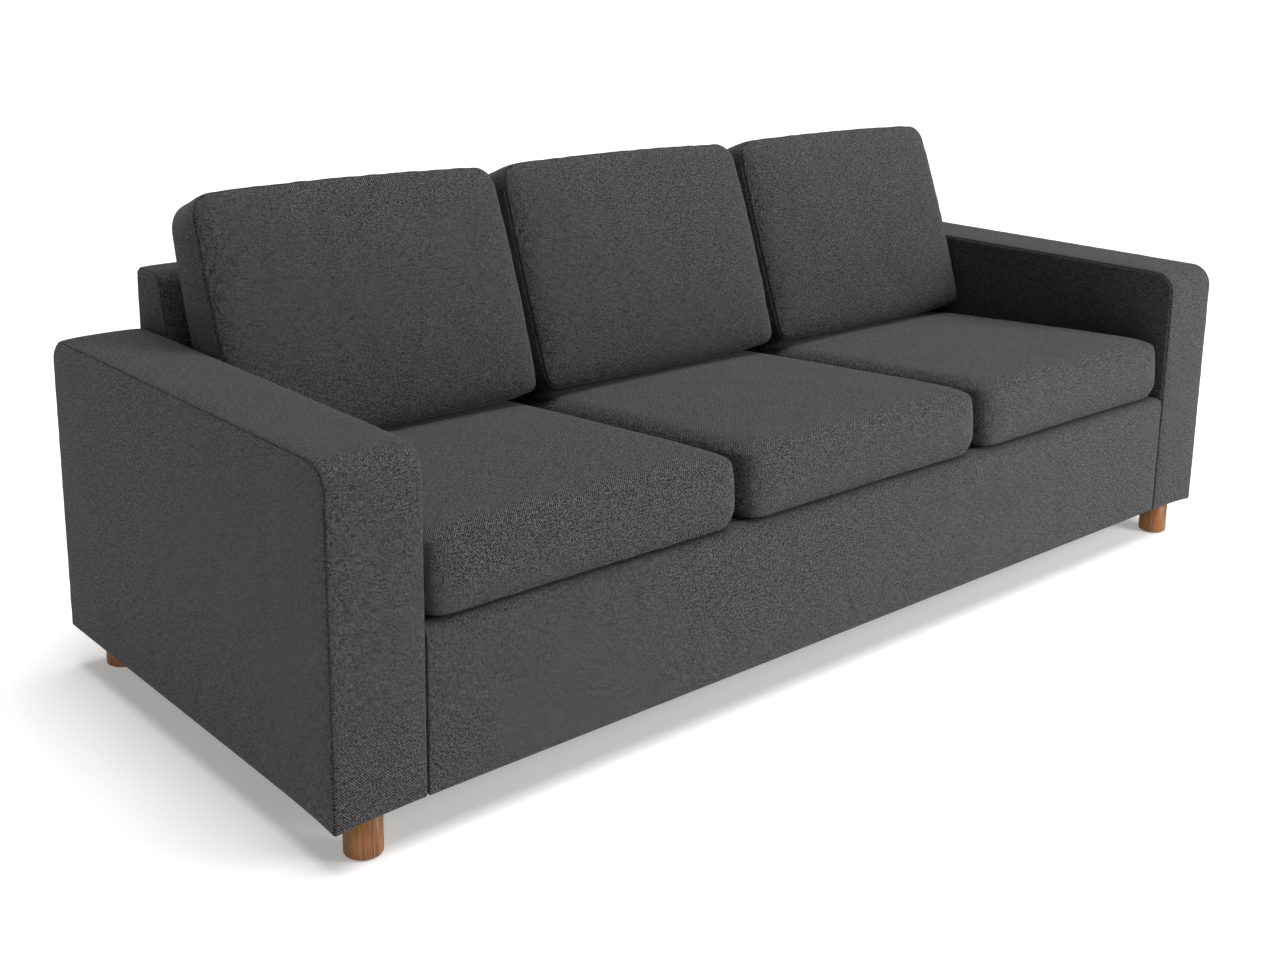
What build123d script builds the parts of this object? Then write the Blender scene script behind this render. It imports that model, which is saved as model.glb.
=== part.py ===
from build123d import *
import os
from math import cos, radians, sin, tan

os.makedirs("parts", exist_ok=True)

# Overall sizes, in millimetres
overall_width = 2200.0
overall_depth = 896.0
leg_height = 77.0
seat_count = 3

# Clearances
soft_clearance = 0.3
bolt_clearance = 0.3
drill_overrun = 1.0

# Upholstery skins
cover_thickness = 3.0
cover_edge_bevel = 2.5
side_padding = 10.0
front_padding = 18.0

# Arms
arm_width = 155.0
arm_top = 600.0
arm_corner_radius = 42.0
arm_outer_board_thickness = 4.0
arm_inner_board_thickness = 12.0
arm_board_thickness = 22.0
arm_post_depth = 45.0

# Legs and what holds them
leg_diameter = 58.0
leg_from_side = 72.0
leg_from_end = 45.0
glide_diameter = 48.0
glide_thickness = 2.5
hanger_bolt_in_leg = 36.0
hanger_bolt_past_nut = 4.0
hanger_bore_spare = 2.0

# Bolts and plate nuts
bolt_diameter = 8.0
bolt_length = 55.0
bolt_head_across_flats = 13.0
bolt_head_thickness = 5.3
plate_nut_size = 24.0
plate_nut_thickness = 6.0
nut_pocket_room = 1.0
nut_pocket_height = 15.0
bolt_window_room = 3.0
seat_bolt_height = 150.0
seat_bolt_front_from_front = 198.0
seat_bolt_rear_from_rear_rail = 116.0

# Seat frame
seat_deck_front_height = 335.0
seat_rake_angle = 4.0
rail_thickness = 22.0
rail_overhang = 4.7
rail_end_gap = 6.0
rail_top_drop = 0.6
rail_top_radius = 14.0
rail_bottom_radius = 6.0
end_rail_thickness = 25.0
rear_rail_thickness = 25.0
cross_rail_thickness = 25.0
cross_rail_height = 120.0
corner_block_leg = 70.0
corner_block_height = 110.0
corner_block_base = 12.0
dust_cover_thickness = 1.5
dust_cover_border = 6.0

# Seat webbing and deck
strap_thickness = 2.0
strap_width = 70.0
strap_ramp = 14.0
strap_end_margin = 1.5
straps_per_seat = 4
lengthwise_strap_count = 3
tack_strip_width = 16.0
tack_strip_thickness = 2.0
tack_strip_corner_room = 40.0
deck_pad_thickness = 10.0
deck_cloth_thickness = 1.5
deck_side_gap = 0.5

# Back frame
back_top = 706.0
back_rear_inset = 4.0
back_top_depth = 85.0
back_lean_angle = 15.8
back_ledge_height = 232.0
back_padding_thickness = 20.0
back_top_padding = 15.0
back_front_radius = 20.0
back_rear_radius = 12.0
back_rear_board_thickness = 3.0
back_rib_thickness = 18.0
back_rail_thickness = 22.0
back_strap_count = 5
back_strap_width = 60.0
back_strap_first = 60.0
back_strap_pitch = 82.0
back_gap_to_seat_rail = 3.5

# Loose cushions
cushion_side_gap = 2.0
cushion_between_gap = 4.0
seat_cushion_thickness = 135.0
seat_cushion_radius = 26.0
seat_cushion_wadding = 14.0
seat_cushion_back_gap = 6.0
back_cushion_front_from_front = 520.0
back_cushion_lean_angle = 20.0
back_cushion_top = 868.0
back_cushion_top_depth = 146.0
back_cushion_top_radius = 40.0
back_cushion_radius = 30.0
back_cushion_wadding = 20.0

# Places that follow from the sizes
half_width = overall_width / 2
front = -overall_depth / 2
rear = overall_depth / 2
underside = leg_height
arm_inner = half_width - arm_width
skin = cover_thickness + soft_clearance
rake = radians(seat_rake_angle)
lean = radians(back_lean_angle)
cushion_lean = radians(back_cushion_lean_angle)
leg_x = half_width - leg_from_side
leg_y = rear - leg_from_end
sides = {"left": -1, "right": 1}
board_bottom = underside + cover_thickness

# Heights above the seat frame's raked top face
lattice_top = 2 * strap_thickness + soft_clearance
pad_top = lattice_top + deck_pad_thickness
deck_top = pad_top + deck_cloth_thickness
seat_cushion_bottom = deck_top + soft_clearance
seat_cushion_upper = seat_cushion_bottom + seat_cushion_thickness
back_cushion_seat = seat_cushion_upper + soft_clearance

# The raked top face of the seat frame
rake_y = front - deck_top * sin(rake)
rake_z = seat_deck_front_height - deck_top * cos(rake)
rake_plane = Plane(origin=(0, rake_y, rake_z), x_dir=(1, 0, 0), z_dir=(0, sin(rake), cos(rake)))

# The back frame, from its cover inwards
back_rear = rear - back_rear_inset
back_rib_rear = back_rear - cover_thickness - back_rear_board_thickness
back_frame_inset = skin + back_padding_thickness
back_rib_inset = back_frame_inset + strap_thickness
back_frame_top = back_top - skin - back_top_padding
back_rib_top = back_frame_top - back_rail_thickness
back_rib_bottom = board_bottom + back_rail_thickness


def raked_height(y, above):
    """Height at y of the plane that lies the given distance above the seat frame."""
    return rake_z + above / cos(rake) - (y - rake_y) * tan(rake)


def back_line(z, inset):
    """Place of the back's leaning front at height z, the given distance inside its cover."""
    return back_rear - back_top_depth - (back_top - z) * tan(lean) + inset / cos(lean)


# Seat frame places
rail_front = front + skin + front_padding
rail_rear = rail_front + rail_thickness
rail_back = rail_rear + rail_overhang
rail_top = raked_height(rail_back, deck_top) - rail_top_drop
rear_rail_rear = back_line(back_ledge_height, 0) - back_gap_to_seat_rail
rear_rail_front = rear_rail_rear - rear_rail_thickness
end_rail_inner = arm_inner - end_rail_thickness
bolt_places = (
    (front + seat_bolt_front_from_front, seat_bolt_height),
    (rear_rail_front - seat_bolt_rear_from_rear_rail, seat_bolt_height),
)
back_rib_outer = arm_inner - skin

# Arm frame, as distances from the sofa's middle
arm_frame_outer = half_width - skin - side_padding
arm_frame_inner = arm_inner + skin + side_padding
arm_core_outer = arm_frame_outer - arm_outer_board_thickness
arm_core_inner = arm_frame_inner + arm_inner_board_thickness
arm_frame_y = (front + skin + front_padding, rear - skin - front_padding)
arm_frame_top = arm_top - skin - front_padding

# Cushions
seat_pitch_width = 2 * arm_inner - 2 * cushion_side_gap - (seat_count - 1) * cushion_between_gap
cushion_width = seat_pitch_width / seat_count
cushion_pitch = cushion_width + cushion_between_gap
cushion_names = {"left": -1, "middle": 0, "right": 1}

parts = {}


def block(x_span, y_span, z_span):
    """A straight board between two values on each axis."""
    spans = [sorted(ends) for ends in (x_span, y_span, z_span)]
    size = [high - low for low, high in spans]
    middle = [(high + low) / 2 for low, high in spans]
    return Pos(*middle) * Box(*size)


def outline(points, corners):
    """A closed outline in side view, with some of its corners rounded."""
    face = make_face(Polyline(*points, close=True))
    for index, radius in corners.items():
        corner = face.vertices().sort_by_distance((*points[index], 0))[0]
        face = fillet(corner, radius)
    return face


def across(face, x_span):
    """A side-view outline carried across the width."""
    low, high = sorted(x_span)
    return extrude(Plane.YZ.offset(low) * face, amount=high - low)


def profile(points, x_span, corners=None):
    """A piece of one side-view outline between two widths."""
    return across(outline(points, corners or {}), x_span)


def span(side, inner, outer):
    """A stretch of the width on one side of the sofa."""
    return (side * inner, side * outer)


def rod(start, direction, diameter, length):
    """A round bar from a start point along a direction."""
    plane = Plane(origin=start, z_dir=direction)
    return extrude(plane * Circle(diameter / 2), amount=length)


def end_edges(solid, x, keep):
    """The edges of one end face that pass a test on their middle."""
    ends = solid.edges().filter_by_position(Axis.X, x, x)
    return ends.filter_by(lambda edge: keep(edge.center()))


def arm_outline(inset, bottom):
    """The arm in side view, the given distance inside its cover."""
    points = [
        (front + inset, bottom),
        (front + inset, arm_top - inset),
        (rear - inset, arm_top - inset),
        (rear - inset, bottom),
    ]
    radius = arm_corner_radius - inset
    return outline(points, {1: radius, 2: radius})


def bolt_windows(side, x_span, places, room):
    """Square cuts that let the connector bolts through a soft layer."""
    half = bolt_diameter / 2 + room
    return [
        block(span(side, *x_span), (y - half, y + half), (z - half, z + half))
        for y, z in places
    ]


def bolt_holes(side, x_span, places, diameter):
    """Round holes for the connector bolts."""
    start, end = x_span
    return [
        rod((side * start, y, z), (side, 0, 0), diameter, end - start) for y, z in places
    ]


def arm_covers(side, name):
    """The arm's sewn cover: a strip over front, top and rear, and a panel on each side."""
    body = across(arm_outline(0, underside), span(side, arm_inner, half_width))
    for x in (arm_inner, half_width):
        edges = end_edges(body, side * x, lambda middle: middle.Z > underside + cover_edge_bevel)
        body = chamfer(edges, cover_edge_bevel)
    depth = (front, rear)
    height = (underside, arm_top)
    outer_seam = half_width - cover_thickness
    inner_seam = arm_inner + cover_thickness
    hollow = across(
        arm_outline(cover_thickness, underside - drill_overrun),
        span(side, inner_seam, outer_seam),
    )
    inner_panel = body & block(span(side, arm_inner, inner_seam), depth, height)
    parts[f"arm_outer_cover_{name}"] = body & block(
        span(side, outer_seam, half_width), depth, height
    )
    parts[f"arm_inner_cover_{name}"] = inner_panel - bolt_windows(
        side, (arm_inner, inner_seam), bolt_places, bolt_window_room
    )
    strip = body & block(span(side, inner_seam, outer_seam), depth, height)
    parts[f"arm_strip_cover_{name}"] = strip - hollow


def arm_padding(side, name):
    """The foam that wraps the arm's frame under its cover."""
    wrap = across(
        arm_outline(skin, underside), span(side, arm_inner + skin, half_width - skin)
    )
    frame = block(
        span(side, arm_frame_inner, arm_frame_outer),
        arm_frame_y,
        (underside - drill_overrun, arm_frame_top),
    )
    windows = bolt_windows(
        side, (arm_inner + skin, arm_frame_inner), bolt_places, bolt_window_room
    )
    parts[f"arm_padding_{name}"] = wrap - frame - windows


def leg_spots(side):
    """Where the two legs of one arm stand."""
    return [(side * leg_x, -leg_y), (side * leg_x, leg_y)]


def nut_pockets(side, base):
    """Room in the post ends for the plate nuts and the ends of the leg bolts."""
    half = plate_nut_size / 2 + nut_pocket_room
    return [
        block((x - half, x + half), (y - half, y + half), (base, base + nut_pocket_height))
        for x, y in leg_spots(side)
    ]


def arm_frame(side, name):
    """The arm's boards and posts."""
    front_y, rear_y = arm_frame_y
    core = span(side, arm_core_inner, arm_core_outer)
    base = underside + arm_board_thickness
    lid = arm_frame_top - arm_board_thickness
    hole = bolt_diameter + 2 * bolt_clearance
    bottom_board = block(core, arm_frame_y, (underside, base))
    leg_holes = [
        rod((x, y, underside), (0, 0, 1), hole, arm_board_thickness)
        for x, y in leg_spots(side)
    ]
    top_board = block(core, arm_frame_y, (lid, arm_frame_top))
    front_post = block(core, (front_y, front_y + arm_post_depth), (base, lid))
    rear_post = block(core, (rear_y - arm_post_depth, rear_y), (base, lid))
    pockets = nut_pockets(side, base)
    inner_span = (arm_frame_inner, arm_core_inner)
    inner_board = block(span(side, *inner_span), arm_frame_y, (underside, arm_frame_top))
    outer_board = block(
        span(side, arm_core_outer, arm_frame_outer), arm_frame_y, (underside, arm_frame_top)
    )
    parts[f"arm_bottom_board_{name}"] = bottom_board - leg_holes
    parts[f"arm_top_board_{name}"] = top_board
    parts[f"arm_posts_{name}"] = Compound([front_post - pockets, rear_post - pockets])
    parts[f"arm_inner_board_{name}"] = inner_board - bolt_holes(
        side, inner_span, bolt_places, hole
    )
    parts[f"arm_outer_board_{name}"] = outer_board


def plate_nut():
    """A square threaded plate that stands on a board."""
    plate = Box(
        plate_nut_size,
        plate_nut_size,
        plate_nut_thickness,
        align=(Align.CENTER, Align.CENTER, Align.MIN),
    )
    return plate - rod((0, 0, 0), (0, 0, 1), bolt_diameter + 2 * bolt_clearance, plate_nut_thickness)


def plate_nuts():
    """One plate nut for each leg and for each connector bolt."""
    base = underside + arm_board_thickness
    placed = []
    for side in sides.values():
        placed += [Pos(x, y, base) * plate_nut() for x, y in leg_spots(side)]
        for y, z in bolt_places:
            plane = Plane(origin=(side * arm_core_inner, y, z), x_dir=(0, 1, 0), z_dir=(side, 0, 0))
            placed.append(plane.location * plate_nut())
    parts["plate_nuts"] = Compound(placed)


def connector_bolts():
    """Hexagon bolts that hold the arms to the seat frame."""
    bolts = []
    for side in sides.values():
        for y, z in bolt_places:
            start = (side * end_rail_inner, y, z)
            head_plane = Plane(origin=start, z_dir=(-side, 0, 0))
            hexagon = RegularPolygon(bolt_head_across_flats / 2, 6, major_radius=False)
            head = extrude(head_plane * hexagon, amount=bolt_head_thickness)
            shank = rod(start, (side, 0, 0), bolt_diameter, bolt_length)
            bolts.append(head + shank)
    parts["connector_bolts"] = Compound(bolts)


def leg():
    """One turned leg, standing on its glide, with the bore for its bolt."""
    height = leg_height - glide_thickness
    turned = rod((0, 0, 0), (0, 0, 1), leg_diameter, height)
    bore_depth = hanger_bolt_in_leg + hanger_bore_spare
    bore = rod(
        (0, 0, height - bore_depth), (0, 0, 1), bolt_diameter + 2 * bolt_clearance, bore_depth
    )
    return turned - bore


def legs():
    """Four legs, their glides and their hanger bolts."""
    glides, bolts = [], []
    for name, side in sides.items():
        for end, (x, y) in zip(("front", "rear"), leg_spots(side)):
            parts[f"leg_{end}_{name}"] = Pos(x, y, glide_thickness) * leg()
            glides.append(rod((x, y, 0), (0, 0, 1), glide_diameter, glide_thickness))
            start = underside - hanger_bolt_in_leg
            length = hanger_bolt_in_leg + arm_board_thickness + plate_nut_thickness
            bolts.append(
                rod((x, y, start), (0, 0, 1), bolt_diameter, length + hanger_bolt_past_nut)
            )
    parts["leg_glides"] = Compound(glides)
    parts["leg_hanger_bolts"] = Compound(bolts)


def raked_board(x_span, y_span, above=0.0):
    """A seat board that stands on the underside and ends at the raked top."""
    low, high = y_span
    points = [
        (low, board_bottom),
        (high, board_bottom),
        (high, raked_height(high, above)),
        (low, raked_height(low, above)),
    ]
    return profile(points, x_span)


def corner_blocks():
    """Glued blocks that square the seat frame's corners."""
    base = board_bottom + corner_block_base
    blocks = []
    for side in sides.values():
        for y, inward in ((rail_rear, 1), (rear_rail_front, -1)):
            x = side * end_rail_inner
            points = [
                (x, y),
                (x - side * corner_block_leg, y),
                (x, y + inward * corner_block_leg),
            ]
            face = Pos(0, 0, base) * make_face(Polyline(*points, close=True))
            blocks.append(extrude(face, amount=corner_block_height, dir=(0, 0, 1)))
    parts["seat_corner_blocks"] = Compound(blocks)


def seat_frame():
    """The seat's rails, cross rails, corner blocks and dust cover."""
    rail_half = arm_inner - rail_end_gap - skin
    parts["seat_front_rail"] = raked_board((-rail_half, rail_half), (rail_front, rail_rear))
    parts["seat_rear_rail"] = raked_board(
        (-arm_inner, arm_inner), (rear_rail_front, rear_rail_rear)
    )
    hole = bolt_diameter + 2 * bolt_clearance
    for name, side in sides.items():
        rail = raked_board(span(side, end_rail_inner, arm_inner), (rail_rear, rear_rail_front))
        parts[f"seat_end_rail_{name}"] = rail - bolt_holes(
            side, (end_rail_inner, arm_inner), bolt_places, hole
        )
    cross_rails = []
    for side in sides.values():
        x = side * cushion_pitch / 2
        cross_rails.append(
            block(
                (x - cross_rail_thickness / 2, x + cross_rail_thickness / 2),
                (rail_rear, rear_rail_front),
                (board_bottom, board_bottom + cross_rail_height),
            )
        )
    parts["seat_cross_rails"] = Compound(cross_rails)
    corner_blocks()
    parts["dust_cover"] = block(
        (dust_cover_border - arm_inner, arm_inner - dust_cover_border),
        (rail_rear + soft_clearance, back_rib_rear),
        (board_bottom - dust_cover_thickness, board_bottom),
    )


def woven(start, end, crossings, lifted):
    """A strap in side view, lifted over each crossing strap that it passes on top."""
    half = strap_width / 2 + strap_thickness
    lower = [(start, 0.0)]
    for middle, over in zip(crossings, lifted):
        if over:
            lift = strap_thickness + soft_clearance
            lower += [
                (middle - half - strap_ramp, 0.0),
                (middle - half, lift),
                (middle + half, lift),
                (middle + half + strap_ramp, 0.0),
            ]
    lower.append((end, 0.0))
    upper = [(place, height + strap_thickness) for place, height in reversed(lower)]
    return make_face(Polyline(*lower, *upper, close=True))


def along_rake(y):
    """Distance from the front along the raked seat frame, for a place in plan."""
    return (y - rake_y) / cos(rake)


def even_places(low, high, count):
    """Evenly spaced places between two ends, half a pitch in from each."""
    pitch = (high - low) / count
    return [low + pitch * (index + 0.5) for index in range(count)]


def seat_webbing():
    """Elastic webbing, interlaced over and under in two directions, and its tack strips."""
    first, last = along_rake(rail_front), along_rake(rear_rail_rear)
    outer = arm_inner - strap_end_margin
    inside = (along_rake(rail_rear), along_rake(rear_rail_front))
    columns = even_places(-end_rail_inner, end_rail_inner, straps_per_seat * seat_count)
    rows = even_places(*inside, lengthwise_strap_count)
    half = strap_width / 2
    front_to_rear, side_to_side = [], []
    for column, x in enumerate(columns):
        lifted = [(column + row) % 2 == 0 for row in range(len(rows))]
        face = woven(first + strap_end_margin, last - strap_end_margin, rows, lifted)
        strap = across(face, (x - half, x + half))
        front_to_rear.append(rake_plane.location * strap)
    for row, y in enumerate(rows):
        lifted = [(column + row) % 2 == 1 for column in range(len(columns))]
        face = woven(-outer, outer, columns, lifted)
        strap = extrude(Plane.XZ.offset(-(y - half)) * face, amount=-strap_width)
        side_to_side.append(rake_plane.location * strap)
    parts["seat_webbing_front_to_rear"] = Compound(front_to_rear)
    parts["seat_webbing_side_to_side"] = Compound(side_to_side)
    strip_z = (strap_thickness, strap_thickness + tack_strip_thickness)
    strips = []
    for y in (first + strap_end_margin, last - strap_end_margin - tack_strip_width):
        strips.append(block((-end_rail_inner, end_rail_inner), (y, y + tack_strip_width), strip_z))
    for side in sides.values():
        strip_y = (inside[0] + tack_strip_corner_room, inside[1] - tack_strip_corner_room)
        strips.append(block(span(side, outer - tack_strip_width, outer), strip_y, strip_z))
    parts["webbing_tack_strips"] = Compound([rake_plane.location * strip for strip in strips])


def seat_deck():
    """The felt pad on the webbing and the cloth that the cushions lie on."""
    half = arm_inner - deck_side_gap
    start = along_rake(rail_back) + soft_clearance + deck_top * tan(rake)
    reach = (start, along_rake(rear_rail_rear))
    pad = block((-half, half), reach, (lattice_top, pad_top))
    cloth = block((-half, half), reach, (pad_top, deck_top))
    parts["seat_deck_pad"] = rake_plane.location * pad
    parts["seat_deck_cloth"] = rake_plane.location * cloth


def rail_upholstery():
    """The front rail's foam and the cover that wraps it."""
    half = arm_inner - rail_end_gap
    outer_points = [
        (front, underside),
        (front, rail_top),
        (rail_back, rail_top),
        (rail_back, underside),
    ]
    cover = profile(outer_points, (-half, half), {0: rail_bottom_radius, 1: rail_top_radius})
    for x in (-half, half):
        edges = end_edges(cover, x, lambda middle: middle.Y < rail_front)
        cover = chamfer(edges, cover_edge_bevel)
    past = rail_back + drill_overrun
    inner_points = [
        (front + cover_thickness, underside + cover_thickness),
        (front + cover_thickness, rail_top - cover_thickness),
        (past, rail_top - cover_thickness),
        (past, underside + cover_thickness),
    ]
    inner_half = half - cover_thickness
    hollow = profile(
        inner_points,
        (-inner_half, inner_half),
        {0: rail_bottom_radius - cover_thickness, 1: rail_top_radius - cover_thickness},
    )
    end_rail_room = block(
        (-half, half),
        (rail_rear, past),
        (underside - drill_overrun, raked_height(rail_rear, 0)),
    )
    parts["front_rail_cover"] = cover - [hollow, end_rail_room]
    pad_half = half - skin
    pad_points = [
        (front + skin, underside + skin),
        (front + skin, rail_top - skin),
        (rail_back, rail_top - skin),
        (rail_back, underside + skin),
    ]
    foam = profile(
        pad_points,
        (-pad_half, pad_half),
        {0: rail_bottom_radius - skin, 1: rail_top_radius - skin},
    )
    board_room = [
        (rail_front, underside),
        (rail_front, raked_height(rail_front, lattice_top)),
        (past, raked_height(past, lattice_top)),
        (past, underside),
    ]
    parts["front_rail_padding"] = foam - profile(board_room, (-half, half))


def back_outline(inset, top, back, bottom):
    """The back in side view, its leaning front the given distance inside the cover."""
    return [
        (back_line(bottom, inset), bottom),
        (back_line(top, inset), top),
        (back, top),
        (back, bottom),
    ]


def back_frame():
    """The back's ribs, rails, straps and rear board."""
    ledge_front = back_line(back_ledge_height, back_rib_inset)
    rib_points = [
        (rear_rail_rear, back_rib_bottom),
        (rear_rail_rear, back_ledge_height),
        (ledge_front, back_ledge_height),
        (back_line(back_rib_top, back_rib_inset), back_rib_top),
        (back_rib_rear, back_rib_top),
        (back_rib_rear, back_rib_bottom),
    ]
    ribs = []
    half = back_rib_thickness / 2
    for side in sides.values():
        for x in (back_rib_outer - half, cushion_pitch / 2):
            ribs.append(profile(rib_points, span(side, x - half, x + half)))
    whole = (-back_rib_outer, back_rib_outer)
    parts["back_ribs"] = Compound(ribs)
    parts["back_top_rail"] = profile(
        back_outline(back_rib_inset, back_frame_top, back_rib_rear, back_rib_top), whole
    )
    parts["back_bottom_rail"] = block(
        whole, (rear_rail_rear, back_rib_rear), (board_bottom, back_rib_bottom)
    )
    parts["back_rear_board"] = block(
        whole,
        (back_rib_rear, back_rib_rear + back_rear_board_thickness),
        (board_bottom, back_frame_top),
    )
    straps = []
    for index in range(back_strap_count):
        low = back_ledge_height + back_strap_first + index * back_strap_pitch
        high = low + back_strap_width
        points = [
            (back_line(low, back_frame_inset), low),
            (back_line(high, back_frame_inset), high),
            (back_line(high, back_rib_inset), high),
            (back_line(low, back_rib_inset), low),
        ]
        straps.append(profile(points, whole))
    parts["back_webbing"] = Compound(straps)


def back_upholstery():
    """The back's foam, its front cover and its rear cover."""
    outer = back_outline(0, back_top, back_rear, back_ledge_height)
    cover = profile(
        outer, (-arm_inner, arm_inner), {1: back_front_radius, 2: back_rear_radius}
    )
    for x in (-arm_inner, arm_inner):
        edges = end_edges(
            cover,
            x,
            lambda middle: middle.Z > back_ledge_height + cover_edge_bevel
            and middle.Y < back_rear - back_rear_radius,
        )
        cover = chamfer(edges, cover_edge_bevel)
    inner_half = arm_inner - cover_thickness
    seam_height = back_top - back_rear_radius - cover_thickness
    hollow = profile(
        back_outline(
            cover_thickness,
            back_top - cover_thickness,
            back_rear - cover_thickness,
            back_ledge_height - drill_overrun,
        ),
        (-inner_half, inner_half),
        {1: back_front_radius - cover_thickness, 2: back_rear_radius - cover_thickness},
    )
    rear_opening = block(
        (-inner_half, inner_half),
        (back_rear - cover_thickness - drill_overrun, back_rear + drill_overrun),
        (back_ledge_height - drill_overrun, seam_height),
    )
    parts["back_front_cover"] = cover - [hollow, rear_opening]
    parts["back_rear_cover"] = block(
        (-inner_half, inner_half),
        (back_rear - cover_thickness, back_rear),
        (board_bottom, seam_height),
    )
    foam_rear = back_rear - skin
    foam = profile(
        back_outline(skin, back_top - skin, foam_rear, back_ledge_height),
        (-back_rib_outer, back_rib_outer),
        {1: back_front_radius - skin, 2: back_rear_radius - skin},
    )
    frame_room = back_outline(
        back_frame_inset, back_frame_top, back_rear, back_ledge_height - drill_overrun
    )
    parts["back_padding"] = foam - profile(frame_room, (-arm_inner, arm_inner))


def seat_cushions():
    """Three loose seat cushions: a foam core in a wadded cover."""
    length = along_rake(back_line(raked_height(rear_rail_rear, deck_top), 0)) - seat_cushion_back_gap
    start = deck_top * tan(rake)
    size = (cushion_width, length - start, seat_cushion_thickness)
    middle = (0, (start + length) / 2, seat_cushion_bottom + seat_cushion_thickness / 2)
    shape = fillet(Box(*size).edges().filter_by(Axis.X), seat_cushion_radius)
    core = Box(*(side - 2 * seat_cushion_wadding for side in size))
    cover = shape - core
    for name, place in cushion_names.items():
        spot = rake_plane.location * Pos(place * cushion_pitch, *middle[1:])
        parts[f"seat_cushion_cover_{name}"] = spot * cover
        parts[f"seat_cushion_core_{name}"] = spot * core


def back_cushion_outline():
    """A back cushion in side view, standing on the seat and leaning on the back."""
    low_front = front + back_cushion_front_from_front
    bottom = raked_height(low_front, back_cushion_seat)
    high_front = low_front + (back_cushion_top - bottom) * tan(cushion_lean)
    level = raked_height(0, back_cushion_seat)
    shift = soft_clearance / cos(lean)
    low_rear = (back_line(level, 0) - shift) / (1 + tan(rake) * tan(lean))
    return [
        (low_front, bottom),
        (high_front, back_cushion_top),
        (high_front + back_cushion_top_depth, back_cushion_top),
        (back_line(back_top, 0) - shift, back_top),
        (low_rear, raked_height(low_rear, back_cushion_seat)),
    ]


def back_cushions():
    """Three loose back cushions: a filled core in a wadded cover."""
    points = back_cushion_outline()
    half = cushion_width / 2
    top = {1: back_cushion_top_radius, 2: back_cushion_top_radius}
    corners = {**top, 0: back_cushion_radius, 4: back_cushion_radius}
    shape = profile(points, (-half, half), corners)
    plain = make_face(Polyline(*points, close=True))
    core_face = offset(plain, amount=-back_cushion_wadding, kind=Kind.INTERSECTION)
    core_half = half - back_cushion_wadding
    core = across(core_face, (-core_half, core_half))
    cover = shape - core
    for name, place in cushion_names.items():
        spot = Pos(place * cushion_pitch, 0, 0)
        parts[f"back_cushion_cover_{name}"] = spot * cover
        parts[f"back_cushion_core_{name}"] = spot * core


for arm_name, arm_side in sides.items():
    arm_covers(arm_side, arm_name)
    arm_padding(arm_side, arm_name)
    arm_frame(arm_side, arm_name)
plate_nuts()
connector_bolts()
legs()
seat_frame()
seat_webbing()
seat_deck()
rail_upholstery()
back_frame()
back_upholstery()
seat_cushions()
back_cushions()

for node, shape in parts.items():
    export_step(shape, f"parts/{node}.step")
print(len(parts), "pieces written")
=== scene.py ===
"""Dressed model of a three-seat sofa with oak legs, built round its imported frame."""
import logging
import math
from dataclasses import dataclass
from enum import Enum
from functools import cache, cached_property
from typing import Any, Optional, Sequence, Union

import bpy
import numpy as np
from bpy.types import ID, ColorRamp, Material, Mesh, NodeSocket, Object
from mathutils import Matrix, Vector


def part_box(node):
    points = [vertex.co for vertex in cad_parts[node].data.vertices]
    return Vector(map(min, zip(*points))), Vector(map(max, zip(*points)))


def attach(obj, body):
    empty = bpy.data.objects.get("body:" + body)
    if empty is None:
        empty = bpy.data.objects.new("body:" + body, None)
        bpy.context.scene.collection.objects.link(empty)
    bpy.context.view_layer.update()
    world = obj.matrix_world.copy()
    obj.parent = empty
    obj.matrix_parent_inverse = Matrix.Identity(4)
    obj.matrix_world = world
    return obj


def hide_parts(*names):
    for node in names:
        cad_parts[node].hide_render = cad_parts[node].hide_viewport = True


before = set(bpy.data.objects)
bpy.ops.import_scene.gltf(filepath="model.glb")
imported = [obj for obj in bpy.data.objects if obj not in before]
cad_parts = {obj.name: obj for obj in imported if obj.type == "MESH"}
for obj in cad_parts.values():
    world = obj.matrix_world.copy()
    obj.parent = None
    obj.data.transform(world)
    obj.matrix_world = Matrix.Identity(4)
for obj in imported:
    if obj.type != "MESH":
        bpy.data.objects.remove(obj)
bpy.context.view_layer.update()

log = logging.getLogger("sofa")

SOFA_BODY = "sofa"
WEAVE_MAP = "weave"
SEAM_MARK = "seam_distance"
SEAM_SHADE = "seam_shade"
MM = 0.001
TOUCHING = 1e-6
TINY = 1e-9
SEAT_PITCH = 0.630
SEAT_RAKE = math.radians(4.0)
WHITE = (1.0, 1.0, 1.0)


class Named(Enum):
    """A choice whose name the nodes spell in small letters."""

    @property
    def word(self) -> str:
        """The name as the nodes spell it."""
        return self.name.lower()


class Side(Named):
    """The sofa's two ends, as seen by someone who faces its front."""

    LEFT = -1
    RIGHT = 1


class Place(Named):
    """The three seats, counted from the left end."""

    LEFT = -1
    MIDDLE = 0
    RIGHT = 1


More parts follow.
